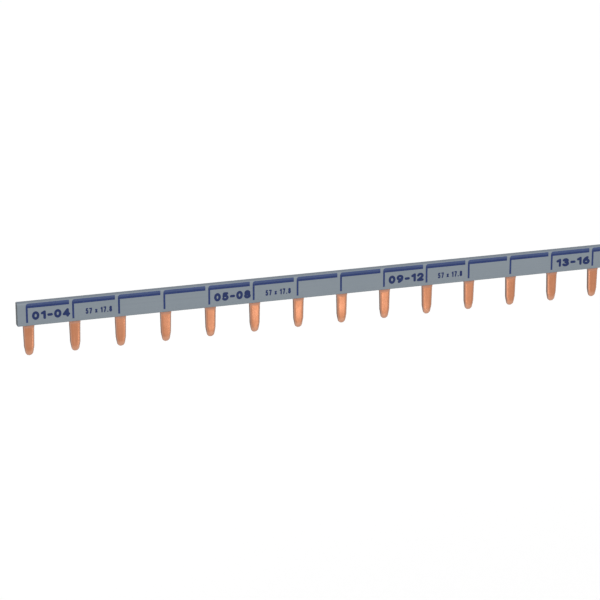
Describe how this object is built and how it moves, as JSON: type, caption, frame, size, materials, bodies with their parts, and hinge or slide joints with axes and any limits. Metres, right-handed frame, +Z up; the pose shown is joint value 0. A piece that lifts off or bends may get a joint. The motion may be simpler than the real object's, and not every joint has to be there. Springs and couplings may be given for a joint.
{
  "type": "comb busbar",
  "caption": "Straight copper comb busbar in a grey insulating channel: a row of flat rounded prongs, one per module, points out of its open side.",
  "frame": {"origin": "middle of the row of prongs: centre of the middle prong's section, level with the underside of the channel", "axes": "+X along the bar, -Y out of the printed front, +Z up, away from the tips of the prongs"},
  "size_m": [1.0056, 0.0032, 0.0214],
  "materials": {
    "channel": "satin blue-grey extruded plastic",
    "copper": "bare copper, stamped and coined, semi-matt",
    "print": "dark blue ink printed on the channel"
  },
  "bodies": {
    "root": {"insulating_channel": "channel", "copper_comb": "copper", "module_marks": "print"}
  },
  "joints": []
}
